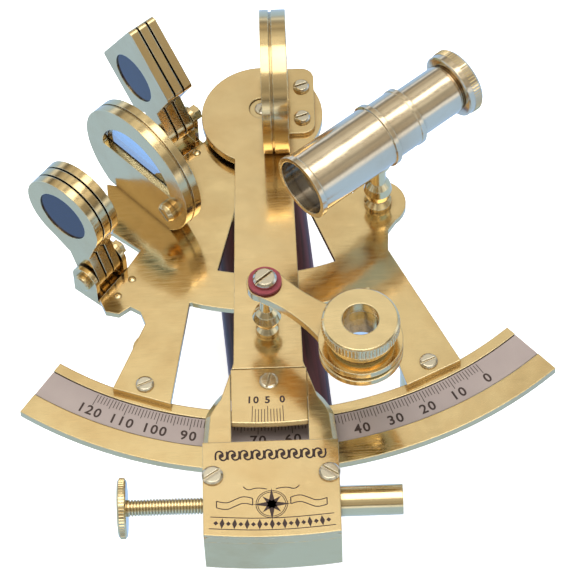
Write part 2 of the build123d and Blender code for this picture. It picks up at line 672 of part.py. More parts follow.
MAG_TUBE_LOW = MAG_RING_LOW - 1.4
MAG_TUBE_HIGH = 68.8
MAG_HEAD = 3.4
magnifier_tube = turned(
    [
        (MAG_TUBE_R, MAG_TUBE_LOW),
        (MAG_TUBE_R, MAG_TUBE_HIGH - 6.4),
        (MAG_TUBE_R + 0.9, MAG_TUBE_HIGH - 6.0),
        (MAG_TUBE_R + 0.9, MAG_TUBE_HIGH - MAG_HEAD - 0.8),
        (MAG_TUBE_R - 0.4, MAG_TUBE_HIGH - MAG_HEAD - 0.4),
        (MAG_TUBE_R - 0.4, MAG_TUBE_HIGH - MAG_HEAD),
        (MAG_TOP_R, MAG_TUBE_HIGH - MAG_HEAD),
        (MAG_TOP_R, MAG_TUBE_HIGH - 0.4),
        (MAG_TOP_R - 0.4, MAG_TUBE_HIGH),
    ]
)
magnifier_tube -= disc(5.4, MAG_TUBE_LOW - 1, MAG_TUBE_HIGH - 3.0)
magnifier_tube -= disc(MAG_BORE_R, 0, 90)
save("magnifier_tube", at_magnifier(Pos(MAG_REACH, 0, 0) * magnifier_tube))

LENS_THICKNESS = 1.8
lens_high = MAG_TUBE_HIGH - 3.05
magnifier_lens = disc(5.35, lens_high - LENS_THICKNESS, lens_high)
save("magnifier_lens", at_magnifier(Pos(MAG_REACH, 0, 0) * magnifier_lens))

# ================= telescope =================
POST_TOP = SCOPE_Z - SCOPE_R - 1.6
SPIGOT_R = 1.5
telescope_post = turned(
    [
        (3.2, FRAME_TOP),
        (3.2, FRAME_TOP + 1.2),
        (2.0, FRAME_TOP + 2.2),
        (2.9, FRAME_TOP + 3.6),
        (3.3, FRAME_TOP + 5.6),
        (2.9, FRAME_TOP + 7.6),
        (1.9, FRAME_TOP + 9.0),
        (1.9, POST_TOP - 3.0),
        (3.0, POST_TOP - 1.6),
        (3.0, POST_TOP - 0.05),
    ]
)
telescope_post += disc(SCOPE_SPIGOT_R, LIMB_TOP, FRAME_TOP)
telescope_post -= disc(SPIGOT_R + RUNNING, POST_TOP - 8, POST_TOP + 1)
save("telescope_post", Pos(LOBE_X, LOBE_Y, 0) * telescope_post)


def along_scope(shape):
    """Places a piece drawn along X about the telescope's own axis."""
    return Pos(LOBE_X, LOBE_Y, SCOPE_Z) * Rot(0, 0, SCOPE_TURN) * shape


def turned_x(profile):
    """A solid turned about X from (position, radius) points."""
    points = [(profile[0][0], 0)] + list(profile) + [(profile[-1][0], 0)]
    wire = Polyline(*[(place, radius, 0) for place, radius in points], close=True)
    return revolve(make_face(wire), axis=Axis.X)


BARREL_BORE_R = 6.9
barrel = turned_x(
    [
        (SCOPE_FRONT, SCOPE_R + 0.5),
        (SCOPE_FRONT + 1.2, SCOPE_R + 0.5),
        (SCOPE_FRONT + 1.5, SCOPE_R),
        (SCOPE_COLLAR, SCOPE_R),
        (SCOPE_COLLAR + 0.2, SCOPE_R + 0.45),
        (SCOPE_COLLAR + 1.4, SCOPE_R + 0.45),
        (SCOPE_COLLAR + 1.6, SCOPE_REAR_R),
        (SCOPE_REAR - 1.3, SCOPE_REAR_R),
        (SCOPE_REAR - 1.1, SCOPE_REAR_R + 0.2),
        (SCOPE_REAR, SCOPE_REAR_R + 0.2),
    ]
)
barrel -= rod_x(BARREL_BORE_R, SCOPE_FRONT - 1, SCOPE_COLLAR)
barrel -= rod_x(DRAW_R + RUNNING, SCOPE_COLLAR - 1, SCOPE_REAR + 1)
SADDLE_X = 3.0
saddle = block((-SADDLE_X, SADDLE_X), (-2.6, 2.6), (-SCOPE_R - 0.7, -BARREL_BORE_R + 0.2))
saddle += Pos(0, 0, -SCOPE_R - 1.6) * Cylinder(3.2, 1.6, align=(Align.CENTER, Align.CENTER, Align.MIN))
saddle += Pos(0, 0, -SCOPE_R - 9.0) * Cylinder(SPIGOT_R, 8.0, align=(Align.CENTER, Align.CENTER, Align.MIN))
saddle -= rod_x(BARREL_BORE_R + 0.1, -10, 10)
save("telescope_barrel", along_scope(barrel + saddle))

lens_front = SCOPE_FRONT + 2.4
objective_lens = rod_x(BARREL_BORE_R - 0.02, lens_front, lens_front + 1.8)
save("objective_lens", along_scope(objective_lens))

draw_tube = turned_x(
    [
        (DRAW_INNER_END, DRAW_R),
        (EYEPIECE_START - 0.7, DRAW_R),
        (EYEPIECE_START - 0.6, DRAW_R - 0.6),
        (EYEPIECE_START, DRAW_R - 0.6),
        (EYEPIECE_START + 0.3, EYEPIECE_R - 0.4),
        (EYEPIECE_START + 0.6, EYEPIECE_R),
        (EYEPIECE_END - 0.6, EYEPIECE_R),
        (EYEPIECE_END, EYEPIECE_R - 0.6),
    ]
)
draw_tube -= rod_x(DRAW_R - 0.9, DRAW_INNER_END - 1, EYEPIECE_END - 2.5)
draw_tube -= rod_x(4.0, DRAW_INNER_END, EYEPIECE_END + 1)
save("draw_tube", along_scope(draw_tube))
eye_lens = rod_x(DRAW_R - 0.92, EYEPIECE_END - 4.2, EYEPIECE_END - 2.55)
save("eye_lens", along_scope(eye_lens))


# ================= mirrors =================
def upright_disc(radius, first, last, height=0.0):
    """A disc standing across X with its centre at a height above its foot."""
    return rod_x(radius, first, last, 0, height)


def mirror_drum(radius, depth, base):
    """A round holder standing on a flat, its face at x = 0, grooved round its rim."""
    drum = upright_disc(radius, 0, depth, base)
    groove = upright_disc(radius + 1, MIRROR_WALL + 0.5, MIRROR_WALL + 1.1, base)
    groove -= upright_disc(radius - 0.5, 0, depth, base)
    return drum - groove - block((-1, depth + 1), (-30, 30), (-30, 0))


def mirror_flange(start, width, low, high, corner):
    """The holder's screwed-down foot, reaching out behind the drum."""
    foot = block((start, start + width), (low, high), (0, FLANGE_THICKNESS))
    outer = foot.edges().filter_by(Axis.Z).sort_by(Axis.X)[2:]
    return fillet(outer, corner)


def on_horizon(shape):
    """Places a mirror piece on the frame's left extension, its face to the lower left."""
    return Pos(HORIZON_X, HORIZON_Y, FRAME_TOP) * Rot(0, 0, HORIZON_TURN + 90) * shape


def on_head(shape):
    """Places a mirror piece on the arm's head, facing the horizon mirror."""
    return on_arm(Pos(INDEX_FACE_X, INDEX_CENTRE_Y, ARM_TOP) * shape)


HORIZON_SCREW_R = 0.8
HORIZON_HEAD_R = 1.7
HORIZON_HEAD_HEIGHT = 0.7
horizon_screw_spots = [(HORIZON_DEPTH + 3.0, place) for place in (-7.4, 0.6)]
horizon_holder = mirror_drum(MIRROR_R, HORIZON_DEPTH, MIRROR_BASE)
horizon_holder -= upright_disc(MIRROR_SEAT_R, MIRROR_WALL, HORIZON_DEPTH + 1, MIRROR_BASE)
half_moon = upright_disc(HALF_MOON_R, -1, MIRROR_WALL + 1, MIRROR_BASE)
horizon_holder -= half_moon - block((-2, MIRROR_WALL + 2), (-30, 30), (-30, MIRROR_BASE + 0.4))
horizon_holder += mirror_flange(HORIZON_DEPTH, 6.0, -10.4, 3.6, 1.5)
FACE_SCREW_SPOT = (-11.2, MIRROR_BASE - 4.6)
horizon_holder -= rod_x(0.9 + SCREW_CLEARANCE, -1, MIRROR_WALL + 0.01, *FACE_SCREW_SPOT)
horizon_seat = FLANGE_THICKNESS - HORIZON_HEAD_HEIGHT - 0.1
for x, y in horizon_screw_spots:
    horizon_holder -= disc(HORIZON_SCREW_R + SCREW_CLEARANCE, -1, FLANGE_THICKNESS + 1, x, y)
    horizon_holder -= disc(HORIZON_HEAD_R + SCREW_CLEARANCE, horizon_seat, FLANGE_THICKNESS + 1, x, y)
save("horizon_mirror_holder", on_horizon(horizon_holder))

glass_front = MIRROR_WALL + 0.05
glass_disc = upright_disc(GLASS_R, glass_front, glass_front + GLASS_THICKNESS, MIRROR_BASE)
save("horizon_mirror_glass", on_horizon(glass_disc))
retainer_start = glass_front + GLASS_THICKNESS + 0.05
retainer = upright_disc(MIRROR_SEAT_R - 0.05, retainer_start, retainer_start + 1.0, MIRROR_BASE)
retainer -= upright_disc(MIRROR_SEAT_R - 1.6, 0, 9, MIRROR_BASE)
save("horizon_retainer", on_horizon(retainer))

face_screw = Rot(0, -90, 0) * slotted_screw(2.4, 2.2, 0.9, MIRROR_WALL, 0.6, 50)
save("horizon_face_screw", on_horizon(Pos(0, *FACE_SCREW_SPOT) * face_screw))

horizon_screws = []
for x, y in horizon_screw_spots:
    length = horizon_seat + FRAME_TOP - LIMB_TOP
    screw = slotted_screw(HORIZON_HEAD_R, HORIZON_HEAD_HEIGHT, HORIZON_SCREW_R, length, 0.45, 25)
    horizon_screws.append(on_horizon(Pos(x, y, horizon_seat) * screw))
    spot = on_horizon(Pos(x, y, 0)).position
    frame_plate -= disc(HORIZON_SCREW_R + SCREW_CLEARANCE, *PLATE_CUT, spot.X, spot.Y)
save("horizon_foot_screws", Compound(children=horizon_screws))

index_glass = upright_disc(GLASS_R, 0.1, 0.1 + GLASS_THICKNESS, INDEX_BASE)
index_holder = mirror_drum(INDEX_R, INDEX_DEPTH, INDEX_BASE)
index_holder -= upright_disc(MIRROR_SEAT_R, -1, 0.1 + GLASS_THICKNESS + 0.05, INDEX_BASE)
index_holder -= upright_disc(MIRROR_SEAT_R, INDEX_DEPTH - 2.4, INDEX_DEPTH + 1, INDEX_BASE)
flange_low = INDEX_FLANGE_Y - INDEX_CENTRE_Y - 9.6
index_holder += mirror_flange(INDEX_DEPTH, 6.2, flange_low, flange_low + 19.6, 3.0)
for x, y in index_screw_spots:
    shank_hole = disc(INDEX_SCREW_R + SCREW_CLEARANCE, -1, FLANGE_THICKNESS + 1)
    index_holder -= Pos(x - INDEX_FACE_X, y - INDEX_CENTRE_Y, 0) * shank_hole
save("index_mirror_holder", on_head(index_holder))
save("index_mirror_glass", on_head(index_glass))

index_screws = []
for x, y in index_screw_spots:
    screw = slotted_screw(1.9, 1.1, INDEX_SCREW_R, FLANGE_THICKNESS + ARM_TOP - ARM_BOTTOM, 0.5, 20)
    index_screws.append(on_arm(Pos(x, y, ARM_TOP + FLANGE_THICKNESS) * screw))
save("index_foot_screws", Compound(children=index_screws))


# ================= shades =================
def shade_leaf(plan, reach, glass_r):
    """A leaf standing up from its pin, with a tail round the pin and a glass hole."""
    tail = Pos(0, reach / 2) * Rectangle(2 * TAIL_HALF, reach)
    outline = (Pos(0, reach) * plan) + tail + Circle(TAIL_HALF)
    outline -= Circle(PIN_R + RUNNING)
    outline -= Pos(0, reach) * Circle(glass_r)
    leaf = Pos(0, 0, -LEAF_THICKNESS / 2) * extrude(outline, amount=LEAF_THICKNESS)
    return Rot(0, 0, 90) * Rot(90, 0, 0) * leaf


def shade_glass(reach, glass_r):
    """A dark glass disc, a little thinner than its leaf."""
    thickness = LEAF_THICKNESS - 0.7
    return rod_x(glass_r - 0.02, -thickness / 2, thickness / 2, 0, reach)


def shade_bracket(pin_height, cheek_half):
    """A clevis riveted under the frame's ear, its pin along X through the origin."""
    cheek_inner = 1.5 * LEAF_THICKNESS + 2 * SIDE_GAP
    cheek_outer = cheek_inner + CHEEK
    floor = -pin_height - (FRAME_TOP - LIMB_TOP)
    bracket = block((-cheek_outer, cheek_outer), (-9.0, cheek_half), (floor - CHEEK, floor))
    for low, high in ((-cheek_outer, -cheek_inner), (cheek_inner, cheek_outer)):
        bracket += block((low, high), (-cheek_half, cheek_half), (floor - 0.1, 0))
        bracket += rod_x(cheek_half, low, high)
    return bracket - rod_x(PIN_R + SCREW_CLEARANCE, -9, 9)


def cheek_space(pin_height, cheek_half):
    """The room the two cheeks of a clevis need where they pass the frame's edge."""
    cheek_inner = 1.5 * LEAF_THICKNESS + 2 * SIDE_GAP
    cheek_outer = cheek_inner + CHEEK + SCREW_CLEARANCE
    depths = (-pin_height - (FRAME_TOP - LIMB_TOP), -pin_height + 1)
    room = Part()
    for low, high in ((-cheek_outer, -cheek_inner), (cheek_inner, cheek_outer)):
        room += block((low, high), (-cheek_half, cheek_half), depths)
    return room


def shade_pin():
    """A headed pin with a hexagon nut on its far end."""
    cheek_outer = 1.5 * LEAF_THICKNESS + 2 * SIDE_GAP + CHEEK
    pin = rod_x(PIN_R, -cheek_outer, cheek_outer + 2.2)
    return pin + chamfer(rod_x(2.2, -cheek_outer - 1.5, -cheek_outer).edges().sort_by(Axis.X)[0], 0.4)


def shade_nut():
    """The nut on a shade pin."""
    cheek_outer = 1.5 * LEAF_THICKNESS + 2 * SIDE_GAP + CHEEK
    # A flat faces down, so that the arm's head sweeps past below it.
    nut = extrude(Rot(0, 0, 30) * RegularPolygon(SHADE_NUT_R, 6), amount=1.8)
    nut = Pos(cheek_outer, 0, 0) * Rot(0, 90, 0) * nut
    return nut - rod_x(PIN_R + 0.02, 0, 20)


# A round leaf runs into its tail along two straight flanks.
flank = make_face(
    Polyline(
        (-HSHADE_R * 0.86, -HSHADE_R * 0.5),
        (-TAIL_HALF, -HSHADE_R - 2.0),
        (TAIL_HALF, -HSHADE_R - 2.0),
        (HSHADE_R * 0.86, -HSHADE_R * 0.5),
        close=True,
    )
)
horizon_leaf_plan = Circle(HSHADE_R) + flank
index_leaf_plan = make_face(
    Polyline(
        (-2.0, -10.0),
        (7.8, -9.8),
        (10.0, 6.0),
        (-10.4, 14.0),
        (-13.0, -5.0),
        close=True,
    )
)
index_leaf_plan = fillet(index_leaf_plan.vertices(), 1.2)
shade_sets = [
    ("horizon", (HSHADE_X, HSHADE_Y, HSHADE_Z), HSHADE_TURN, HSHADE_LEAN, HSHADE_REACH, horizon_leaf_plan),
    ("index", (ISHADE_X, ISHADE_Y, ISHADE_Z), ISHADE_TURN, ISHADE_LEAN, ISHADE_REACH, index_leaf_plan),
]
shade_glass_r = {"horizon": HSHADE_GLASS_R, "index": ISHADE_GLASS_R}
cheek_half = {"horizon": HSHADE_CHEEK_HALF, "index": ISHADE_CHEEK_HALF}
shade_pins = []
shade_nuts = []
for name, pin_spot, turn, lean, reach, plan in shade_sets:
    seat = Pos(*pin_spot) * Rot(0, 0, turn)
    glass_r = shade_glass_r[name]
    for number in (1, 2, 3):
        offset = (number - 2) * LEAF_PITCH
        leaned = seat * Pos(offset, 0, 0) * Rot(-lean, 0, 0)
        save(f"{name}_shade_leaf_{number}", leaned * shade_leaf(plan, reach, glass_r))
        save(f"{name}_shade_glass_{number}", leaned * shade_glass(reach, glass_r))
    bracket = shade_bracket(pin_spot[2] - FRAME_TOP, cheek_half[name])
    save(f"{name}_shade_bracket", seat * bracket)
    frame_plate -= seat * cheek_space(pin_spot[2] - FRAME_TOP, cheek_half[name])
    shade_pins.append(seat * shade_pin())
    shade_nuts.append(seat * shade_nut())
save("shade_pins", Compound(children=shade_pins))
save("shade_nuts", Compound(children=shade_nuts))
save("frame_plate", frame_plate)
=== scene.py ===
import json
import math

import bmesh
import bpy
from mathutils import Matrix, Vector


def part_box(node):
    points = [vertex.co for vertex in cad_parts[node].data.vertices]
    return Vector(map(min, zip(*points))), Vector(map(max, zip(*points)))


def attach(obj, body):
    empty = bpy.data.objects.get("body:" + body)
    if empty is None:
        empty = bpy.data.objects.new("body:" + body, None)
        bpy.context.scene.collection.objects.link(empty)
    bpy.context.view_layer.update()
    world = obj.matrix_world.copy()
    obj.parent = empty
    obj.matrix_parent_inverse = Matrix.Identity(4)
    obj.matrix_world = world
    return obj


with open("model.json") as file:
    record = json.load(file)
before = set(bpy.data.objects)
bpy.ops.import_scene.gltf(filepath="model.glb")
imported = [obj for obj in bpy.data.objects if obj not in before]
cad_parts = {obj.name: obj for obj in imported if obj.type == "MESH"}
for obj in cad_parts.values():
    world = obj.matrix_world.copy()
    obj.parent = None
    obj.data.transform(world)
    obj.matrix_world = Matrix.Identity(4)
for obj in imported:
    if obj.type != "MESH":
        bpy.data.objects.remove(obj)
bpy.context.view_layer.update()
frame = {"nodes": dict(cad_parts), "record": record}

# Nautical sextant in polished cast brass: looks, light and camera round the CAD frame.
MM = 0.001
SCENE = bpy.context.scene

# The index arm's rest turn about the pivot, and the lines other pieces are set along.
ARM_TURN = math.radians(-3.2)
SCOPE_TURN = math.radians(35.1)
ARM_AXES = Matrix.Rotation(ARM_TURN, 4, "Z")


# ---------------- small helpers ----------------
def linear(hex_colour):
    """An sRGB hex colour as linear RGBA."""
    parts = [int(hex_colour[i:i + 2], 16) / 255 for i in (1, 3, 5)]
    return [p / 12.92 if p <= 0.04045 else ((p + 0.055) / 1.055) ** 2.4 for p in parts] + [1.0]


def add(tree, kind, links=None, values=None, **settings):
    """Adds a node, sets its properties and input values, and links its inputs."""
    node = tree.nodes.new(kind)
    for key, value in settings.items():
        setattr(node, key, value)
    for key, value in (values or {}).items():
        node.inputs[key].default_value = value
    for key, socket in (links or {}).items():
        tree.links.new(socket, node.inputs[key])
    return node


def noise(tree, vector, scale, detail, **extra):
    """A noise pattern; scale counts its cells in a metre."""
    values = {"Scale": scale, "Detail": detail}
    values.update(extra)
    return add(tree, "ShaderNodeTexNoise", {"Vector": vector}, values)


def bump_from(tree, pattern, strength, depth):
    """A bump from a noise pattern, its depth in millimetres."""
    values = {"Strength": strength, "Distance": depth * MM}
    return add(tree, "ShaderNodeBump", {"Height": pattern.outputs["Fac"]}, values)


def new_material(name):
    material = bpy.data.materials.new(name)
    material.use_nodes = True
    material.node_tree.nodes.clear()
    return material, material.node_tree


def finish_material(tree, shader):
    add(tree, "ShaderNodeOutputMaterial", {"Surface": shader.outputs[0]})


def piece(bm, name, body, material):
    """Turns a bmesh into a piece of the object that rides on a body."""
    mesh = bpy.data.meshes.new(name)
    bm.to_mesh(mesh)
    bm.free()
    thing = bpy.data.objects.new(name, mesh)
    SCENE.collection.objects.link(thing)
    mesh.materials.append(material)
    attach(thing, body)
    return thing


def add_box(bm, place, size):
    """A small box: place is a 4x4 matrix, size its three sides in millimetres."""
    scale = Matrix.Diagonal((size[0] * MM, size[1] * MM, size[2] * MM, 1.0))
    bmesh.ops.create_cube(bm, size=1.0, matrix=place @ scale)


def at(x, y, z):
    return Matrix.Translation((x * MM, y * MM, z * MM))


# ---------------- metals ----------------
def brass(name, colour, worn, roughness, scratch=0.06, tarnish=0.35):
    """Polished brass: warm mirror-like metal with hairline scratches, clouds of brown tarnish,
    painted shade with brown grime in creases, and brighter rubbed edges."""
    material, tree = new_material(name)
    spot = add(tree, "ShaderNodeTexCoord").outputs["Object"]
    geometry = add(tree, "ShaderNodeNewGeometry")
    # Cast edges are rounded over by about a quarter of a millimetre of polishing.
    rounded = add(tree, "ShaderNodeBevel", values={"Radius": 0.35 * MM}, samples=4)
    facing = add(
        tree,
        "ShaderNodeVectorMath",
        {0: rounded.outputs[0], 1: geometry.outputs["Normal"]},
        operation="DOT_PRODUCT",
    )
    rubbed = add(
        tree,
        "ShaderNodeMapRange",
        {"Value": facing.outputs["Value"]},
        {"From Min": 0.99, "From Max": 0.75, "To Min": 0.0, "To Max": 1.0},
    )
    # Clouds of tarnish about 14 mm across.
    cloud = noise(tree, spot, 70.0, 4.0, Roughness=0.6)
    cloudy = add(
        tree,
        "ShaderNodeMapRange",
        {"Value": cloud.outputs["Fac"]},
        {"From Min": 0.42, "From Max": 0.75, "To Min": 0.0, "To Max": tarnish},
    )
    base = add(
        tree,
        "ShaderNodeMix",
        {"Factor": cloudy.outputs[0]},
        {"A": linear(colour), "B": linear(worn)},
        data_type="RGBA",
    )
    # Ambient occlusion turns creases and recesses brown: grime together with painted shade.
    crease = add(tree, "ShaderNodeAmbientOcclusion", values={"Distance": 1.6 * MM}, samples=4)
    grime_and_shade = add(
        tree,
        "ShaderNodeMapRange",
        {"Value": crease.outputs["AO"]},
        {"From Min": 0.15, "From Max": 0.85, "To Min": 0.75, "To Max": 0.0},
    )
    grimed_and_shaded = add(
        tree,
        "ShaderNodeMix",
        {"Factor": grime_and_shade.outputs[0], "A": base.outputs["Result"]},
        {"B": linear("#6a4420")},
        data_type="RGBA",
    )
    bright = add(
        tree,
        "ShaderNodeMix",
        {"Factor": rubbed.outputs[0], "A": grimed_and_shaded.outputs["Result"]},
        {"B": linear("#f6e6b8")},
        data_type="RGBA",
    )
    # Buffing hairlines, about 0.15 mm apart across the grain and a centimetre long.
    stretched = add(tree, "ShaderNodeMapping", {"Vector": spot}, {"Scale": (260.0, 3600.0, 3600.0)})
    hairs = noise(tree, stretched.outputs[0], 1.0, 3.0)
    sheen = add(
        tree,
        "ShaderNodeMapRange",
        {"Value": hairs.outputs["Fac"]},
        {"From Min": 0.3, "From Max": 0.7, "To Min": roughness, "To Max": roughness + 0.12},
    )
    # Slow ripples of hand polishing, about 8 mm long, bend the reflections.
    ripple = noise(tree, spot, 125.0, 1.5)
    waves = add(
        tree,
        "ShaderNodeBump",
        {"Height": ripple.outputs["Fac"], "Normal": rounded.outputs[0]},
        {"Strength": 0.4, "Distance": 0.3 * MM},
    )
    lines = add(
        tree,
        "ShaderNodeBump",
        {"Height": hairs.outputs["Fac"], "Normal": waves.outputs[0]},
        {"Strength": scratch, "Distance": 0.02 * MM},
    )
    shader = add(
        tree,
        "ShaderNodeBsdfPrincipled",
        {
            "Base Color": bright.outputs["Result"],
            "Roughness": sheen.outputs[0],
            "Normal": lines.outputs[0],
        },
        {"Metallic": 1.0},
    )
    finish_material(tree, shader)
    return material


def scale_alloy():
    """Nickel silver strip, grained to a soft satin that doesn't glare."""
    material, tree = new_material("satin nickel silver")
    spot = add(tree, "ShaderNodeTexCoord").outputs["Object"]
    # Grain about 0.4 mm and stains about 11 mm across.
    grain = noise(tree, spot, 2600.0, 2.0)
    cloud = noise(tree, spot, 90.0, 3.0)
    tone = add(
        tree,
        "ShaderNodeMix",
        {"Factor": cloud.outputs["Fac"]},
        {"A": linear("#ada09b"), "B": linear("#968987")},
        data_type="RGBA",
    )
    satin = add(
        tree,
        "ShaderNodeMapRange",
        {"Value": grain.outputs["Fac"]},
        {"To Min": 0.32, "To Max": 0.55},
    )
    rough = bump_from(tree, grain, 0.12, 0.02)
    shader = add(
        tree,
        "ShaderNodeBsdfPrincipled",
        {
            "Base Color": tone.outputs["Result"],
            "Roughness": satin.outputs[0],
            "Normal": rough.outputs[0],
        },
        {"Metallic": 0.55},
    )
    finish_material(tree, shader)
    return material


def rosewood():
    """Oiled rosewood: purple-brown with near-black growth streaks along the grip."""
    material, tree = new_material("oiled rosewood")
    spot = add(tree, "ShaderNodeTexCoord").outputs["Object"]
    # Growth streaks run along the grip and lie about 1.5 mm apart.
    along = add(tree, "ShaderNodeMapping", {"Vector": spot}, {"Scale": (620.0, 32.0, 620.0)})
    streaks = noise(tree, along.outputs[0], 1.0, 5.0, Distortion=0.6)
    ramp = add(tree, "ShaderNodeValToRGB", {"Fac": streaks.outputs["Fac"]})
    ramp.color_ramp.elements[0].position = 0.34
    ramp.color_ramp.elements[0].color = linear("#24090e")
    ramp.color_ramp.elements[1].position = 0.68
    ramp.color_ramp.elements[1].color = linear("#5e262c")
    # Open pores, hair-thin and a few millimetres long.
    pore_scale = {"Scale": (4200.0, 240.0, 4200.0)}
    pore_space = add(tree, "ShaderNodeMapping", {"Vector": spot}, pore_scale)
    pores = noise(tree, pore_space.outputs[0], 1.0, 2.0)
    dents = bump_from(tree, pores, 0.3, 0.05)
    gloss = add(
        tree,
        "ShaderNodeMapRange",
        {"Value": pores.outputs["Fac"]},
        {"To Min": 0.4, "To Max": 0.62},
    )
    shader = add(
        tree,
        "ShaderNodeBsdfPrincipled",
        {
            "Base Color": ramp.outputs["Color"],
            "Roughness": gloss.outputs[0],
            "Normal": dents.outputs[0],
        },
    )
    finish_material(tree, shader)
    return material


def simple(name, colour, other, roughness, scale, metallic=0.0, bump=0.1, **extra):
    """A solid finish with a gentle mottle of two tones and a fine tooth."""
    material, tree = new_material(name)
    spot = add(tree, "ShaderNodeTexCoord").outputs["Object"]
    mottle = noise(tree, spot, scale, 3.0)
    tone = add(
        tree,
        "ShaderNodeMix",
        {"Factor": mottle.outputs["Fac"]},
        {"A": linear(colour), "B": linear(other)},
        data_type="RGBA",
    )
    tooth = bump_from(tree, mottle, bump, 0.02)
    values = {"Metallic": metallic, "Roughness": roughness}
    values.update(extra)
    shader = add(
        tree,
        "ShaderNodeBsdfPrincipled",
        {"Base Color": tone.outputs["Result"], "Normal": tooth.outputs[0]},
        values,
    )
    finish_material(tree, shader)
    return material


def half_silvered():
    """Horizon glass: silvered behind its lower half and clear above, as the sight needs."""
    material, tree = new_material("half silvered glass")
    spot = add(tree, "ShaderNodeTexCoord").outputs["Object"]
    height = add(tree, "ShaderNodeSeparateXYZ", {"Vector": spot}).outputs["Z"]
    line = sum(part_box("horizon_mirror_glass")[end][2] for end in (0, 1)) / 2
    silver = add(
        tree,
        "ShaderNodeMapRange",
        {"Value": height},
        {"From Min": line, "From Max": line + 0.1 * MM, "To Min": 1.0, "To Max": 0.0},
    )
    clear = add(tree, "ShaderNodeMath", {1: silver.outputs[0]}, {0: 1.0}, operation="SUBTRACT")
    shader = add(
        tree,
        "ShaderNodeBsdfPrincipled",
        {"Metallic": silver.outputs[0], "Transmission Weight": clear.outputs[0]},
        {"Base Color": linear("#cbd9e4"), "Roughness": 0.02},
    )
    finish_material(tree, shader)
    return material


BRASS_CAST = brass("polished cast brass", "#e6cc98", "#c4985a", 0.09)
BRASS_TURNED = brass("turned and lacquered brass", "#ead2a0", "#d4b47c", 0.08, 0.03, 0.2)
BRASS_SHEET = brass("rolled brass sheet", "#e8cd9a", "#cba162", 0.11, 0.1, 0.35)
SCOPE_TUBE = brass("pale lacquered tube brass", "#e6d3b4", "#cda878", 0.1, 0.05, 0.3)
SCREW = brass("nickelled screw heads", "#d9cfba", "#b7a88c", 0.12, 0.05, 0.3)
STRIP = scale_alloy()
WOOD = rosewood()
INK = simple("burnt-in black wax", "#3a2823", "#241613", 0.6, 900.0)
SHADE = simple("navy pot glass", "#0d1230", "#090d24", 0.05, 60.0, bump=0.01)
MIRROR = simple("silvered plate glass", "#c9d8e4", "#c2d2df", 0.02, 40.0, metallic=1.0, bump=0.0)
CLEAR = {"Transmission Weight": 1.0}
LENS = simple("crown glass", "#f4f8f6", "#eef4f2", 0.01, 40.0, bump=0.0, **CLEAR)
COATED = {"Coat Weight": 0.4}
SMOKED = simple("smoke tinted crown glass", "#2b2c30", "#232428", 0.04, 40.0, bump=0.0, **COATED)
FIBRE = simple("pressed red fibre", "#8f4048", "#6e2c34", 0.7, 1500.0, bump=0.4)
SPRING = simple("drawn spring steel", "#9a9a9c", "#77777a", 0.3, 600.0, metallic=1.0)

TUBES = {"telescope_barrel", "draw_tube"}
TURNED = {
    "telescope_post", "magnifier_tube", "magnifier_post",
    "tangent_rod", "tangent_knob", "spring_housing", "spring_plunger", "pivot_axle",
    "leg_upper", "side_legs", "handle_posts", "clamp_screw", "thrust_pad",
}
SHEET = {"apron_plate", "vernier_plate", "index_arm"}
SCREWS = {
    "apron_screws", "foot_screws", "vernier_screw", "pivot_screw", "magnifier_screw",
    "index_foot_screws", "horizon_foot_screws", "handle_screws",
}
BY_SLOT = {
    "wood": WOOD,
    "scale_metal": STRIP,
    "shade_glass": SHADE,
    "half_mirror": half_silvered(),
    "mirror": MIRROR,
    "clear_glass": LENS,
    "fibre": FIBRE,
    "spring_steel": SPRING,
}
for part in frame["record"]["subparts"]:
    node = part["node"]
    look = BY_SLOT.get(part["material_slot"], BRASS_CAST)
    if node in TURNED:
        look = BRASS_TURNED
    elif node in SHEET:
        look = BRASS_SHEET
    elif node in SCREWS:
        look = SCREW
    elif node in TUBES:
        look = SCOPE_TUBE
    elif node == "objective_lens":
        look = SMOKED
    mesh = frame["nodes"][node].data
    mesh.materials.clear()
    mesh.materials.append(look)


# ---------------- engraving ----------------
def top_of(node):
    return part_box(node)[1][2] / MM


INLAY = 0.03
STROKE_BOLD = 0.075
NUMERAL_SPACING = 1.2


def radial_mark(bm, degrees, inner, outer, width, z, axes=Matrix.Identity(4)):
    """A wax-filled line pointing at the pivot; degrees count from -Y towards +X."""
    place = axes @ Matrix.Rotation(math.radians(degrees), 4, "Z") @ at(0, -(inner + outer) / 2, z)
    add_box(bm, place, (width, outer - inner, INLAY))


def curve_to_mesh(curve, place, bm):
    """Adds a curve's mesh, put in its place, to a bmesh, and clears the curve away."""
    holder = bpy.data.objects.new(curve.name, curve)
    SCENE.collection.objects.link(holder)
    graph = bpy.context.evaluated_depsgraph_get()
    mesh = bpy.data.meshes.new_from_object(holder.evaluated_get(graph))
    mesh.transform(place)
    bm.from_mesh(mesh)
    bpy.data.objects.remove(holder)
    bpy.data.curves.remove(curve)
    bpy.data.meshes.remove(mesh)


def engraved_text(words, size, place, bm):
    """Generic numerals, flattened to a mesh, dropped into a bmesh."""
    curve = bpy.data.curves.new("numeral", "FONT")
    curve.body = words
    curve.size = size * MM
    curve.align_x = "CENTER"
    curve.align_y = "CENTER"
    curve.extrude = INLAY / 2 * MM
    curve.offset = STROKE_BOLD * MM
    curve.space_character = NUMERAL_SPACING
    curve.resolution_u = 3
    curve_to_mesh(curve, place, bm)


def scale_angle(mark):
    """Where a mark of the 0 to 120 scale lies: half a degree of arc for each."""
    return (60 - mark) / 2


